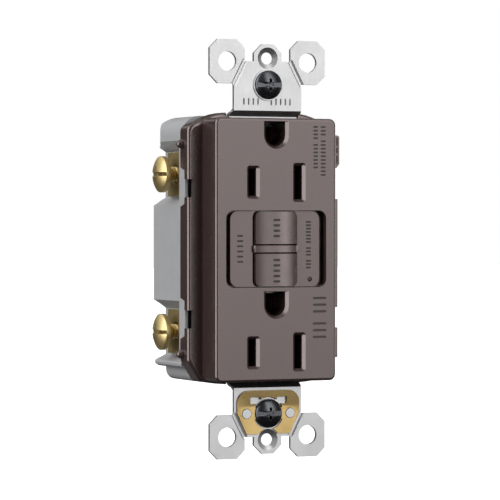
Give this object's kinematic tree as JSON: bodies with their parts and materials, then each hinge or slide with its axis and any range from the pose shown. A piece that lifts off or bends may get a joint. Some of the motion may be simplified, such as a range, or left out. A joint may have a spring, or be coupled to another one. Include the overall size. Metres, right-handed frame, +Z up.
{
  "type": "gfci outlet",
  "caption": "Duplex ground-fault receptacle with a rectangular face, test and reset buttons, metal mounting strap, screw terminals and a trip mechanism in a deep housing.",
  "frame": {"origin": "centre of the rear plane of the mounting strap ears, half way between the two box screws", "axes": "+X right seen from the front, +Y into the wall, away from the face, +Z up"},
  "size_m": [0.0482, 0.0325, 0.1062],
  "materials": {
    "cover_plastic": "satin moulded thermoplastic",
    "housing_plastic": "fine moulded texture",
    "inner_plastic": "plain moulded",
    "retainer_fibre": "pressed fibre",
    "zinc_steel": "zinc plated, satin",
    "brass": "bright pressed",
    "contact_bronze": "plain pressed phosphor bronze",
    "silver_plating": "nickel plated",
    "black_steel": "black oxide",
    "spring_steel": "drawn wire and ground steel",
    "green_steel": "green lacquered",
    "board": "solder-masked laminate",
    "copper": "drawn and enamelled copper",
    "clear_plastic": "clear moulded",
    "smoked_lens": "smoked clear moulded",
    "blue_epoxy": "dipped epoxy",
    "yellow_film": "wrapped film"
  },
  "bodies": {
    "receptacle": {"front_cover": "cover_plastic", "button_panel": "cover_plastic", "rear_housing": "housing_plastic", "contact_separator": "inner_plastic", "solenoid_bobbin": "inner_plastic", "control_chip": "inner_plastic", "trip_thyristor": "inner_plastic", "top_screw_retainer": "retainer_fibre", "bottom_screw_retainer": "retainer_fibre", "mounting_strap": "zinc_steel", "ground_terminal": "zinc_steel", "case_screw_1": "zinc_steel", "case_screw_2": "zinc_steel", "case_screw_3": "zinc_steel", "case_screw_4": "zinc_steel", "ground_clip": "brass", "line_hot_terminal": "brass", "load_hot_terminal": "brass", "upper_ground_contact": "contact_bronze", "lower_ground_contact": "contact_bronze", "hot_contact_strip": "contact_bronze", "neutral_contact_strip": "contact_bronze", "test_contact_blade": "contact_bronze", "line_neutral_terminal": "silver_plating", "load_neutral_terminal": "silver_plating", "test_spring": "spring_steel", "reset_spring": "spring_steel", "plunger_spring": "spring_steel", "circuit_board": "board", "line_hot_conductor": "copper", "line_neutral_conductor": "copper", "ground_fault_transformer": "copper", "solenoid_winding": "copper", "indicator_led": "clear_plastic", "indicator_light_pipe": "smoked_lens", "surge_varistor": "blue_epoxy", "test_resistor": "blue_epoxy", "film_capacitor": "yellow_film", "grounded_neutral_transformer": "yellow_film"},
    "test_button": {"test_button": "cover_plastic"},
    "reset_button": {"reset_button": "cover_plastic", "reset_pin": "spring_steel"},
    "contact_carriage": {"contact_carriage": "inner_plastic", "hot_bridge_contact": "contact_bronze", "neutral_bridge_contact": "contact_bronze"},
    "trip_plunger": {"trip_plunger": "spring_steel", "latch_plate": "spring_steel"},
    "top_mounting_screw": {"top_mounting_screw": "black_steel"},
    "bottom_mounting_screw": {"bottom_mounting_screw": "black_steel"},
    "ground_screw": {"ground_screw": "green_steel"},
    "line_hot_screw": {"line_hot_screw": "brass"},
    "line_hot_clamp_nut": {"line_hot_clamp_nut": "brass"},
    "line_neutral_screw": {"line_neutral_screw": "silver_plating"},
    "line_neutral_clamp_nut": {"line_neutral_clamp_nut": "silver_plating"},
    "load_hot_screw": {"load_hot_screw": "brass"},
    "load_hot_clamp_nut": {"load_hot_clamp_nut": "brass"},
    "load_neutral_screw": {"load_neutral_screw": "silver_plating"},
    "load_neutral_clamp_nut": {"load_neutral_clamp_nut": "silver_plating"}
  },
  "joints": [
    {"name": "test_button_press", "type": "slide", "parent": "receptacle", "child": "test_button", "axis": [0, 1, 0], "range_m": [0, 0.0012], "stiffness_N_per_m": 400, "springref_m": -0.002, "deforming": ["test_spring"]},
    {"name": "reset_button_press", "type": "slide", "parent": "receptacle", "child": "reset_button", "axis": [0, 1, 0], "range_m": [0, 0.0012], "stiffness_N_per_m": 500, "springref_m": -0.002, "deforming": ["reset_spring"]},
    {"name": "contact_carriage_slide", "type": "slide", "parent": "receptacle", "child": "contact_carriage", "axis": [0, -1, 0], "range_m": [0, 0.0012], "stiffness_N_per_m": 250, "springref_m": -0.002},
    {"name": "trip_plunger_slide", "type": "slide", "parent": "receptacle", "child": "trip_plunger", "axis": [0, 0, -1], "range_m": [0, 0.0012], "stiffness_N_per_m": 150, "springref_m": -0.002, "deforming": ["plunger_spring"]},
    {"name": "line_hot_screw_turn", "type": "hinge", "parent": "receptacle", "child": "line_hot_screw", "pos_m": [-0.0183, 0.016, 0.0191], "axis": [1, 0, 0], "range_deg": [0, 900]},
    {"name": "line_hot_clamp_slide", "type": "slide", "parent": "receptacle", "child": "line_hot_clamp_nut", "axis": [-1, 0, 0], "range_m": [0, 0.00198]},
    {"name": "line_neutral_screw_turn", "type": "hinge", "parent": "receptacle", "child": "line_neutral_screw", "pos_m": [0.0183, 0.016, 0.0191], "axis": [-1, 0, 0], "range_deg": [0, 900]},
    {"name": "line_neutral_clamp_slide", "type": "slide", "parent": "receptacle", "child": "line_neutral_clamp_nut", "axis": [1, 0, 0], "range_m": [0, 0.00198]},
    {"name": "load_hot_screw_turn", "type": "hinge", "parent": "receptacle", "child": "load_hot_screw", "pos_m": [-0.0183, 0.016, -0.02125], "axis": [1, 0, 0], "range_deg": [0, 900]},
    {"name": "load_hot_clamp_slide", "type": "slide", "parent": "receptacle", "child": "load_hot_clamp_nut", "axis": [-1, 0, 0], "range_m": [0, 0.00198]},
    {"name": "load_neutral_screw_turn", "type": "hinge", "parent": "receptacle", "child": "load_neutral_screw", "pos_m": [0.0183, 0.016, -0.02125], "axis": [-1, 0, 0], "range_deg": [0, 900]},
    {"name": "load_neutral_clamp_slide", "type": "slide", "parent": "receptacle", "child": "load_neutral_clamp_nut", "axis": [1, 0, 0], "range_m": [0, 0.00198]},
    {"name": "top_mounting_screw_turn", "type": "hinge", "parent": "receptacle", "child": "top_mounting_screw", "pos_m": [0, 0, 0.04167], "axis": [0, 1, 0], "continuous": true},
    {"name": "bottom_mounting_screw_turn", "type": "hinge", "parent": "receptacle", "child": "bottom_mounting_screw", "pos_m": [0, 0, -0.04167], "axis": [0, 1, 0], "continuous": true},
    {"name": "ground_screw_turn", "type": "hinge", "parent": "receptacle", "child": "ground_screw", "pos_m": [0.022, 0.0125, 0.0276], "axis": [-1, 0, 0], "continuous": true}
  ],
  "couplings": [
    {"joint": "line_hot_screw_turn", "follows": "line_hot_clamp_slide", "rad_per_m": 7915.9},
    {"joint": "line_neutral_screw_turn", "follows": "line_neutral_clamp_slide", "rad_per_m": 7915.9},
    {"joint": "load_hot_screw_turn", "follows": "load_hot_clamp_slide", "rad_per_m": 7915.9},
    {"joint": "load_neutral_screw_turn", "follows": "load_neutral_clamp_slide", "rad_per_m": 7915.9}
  ]
}
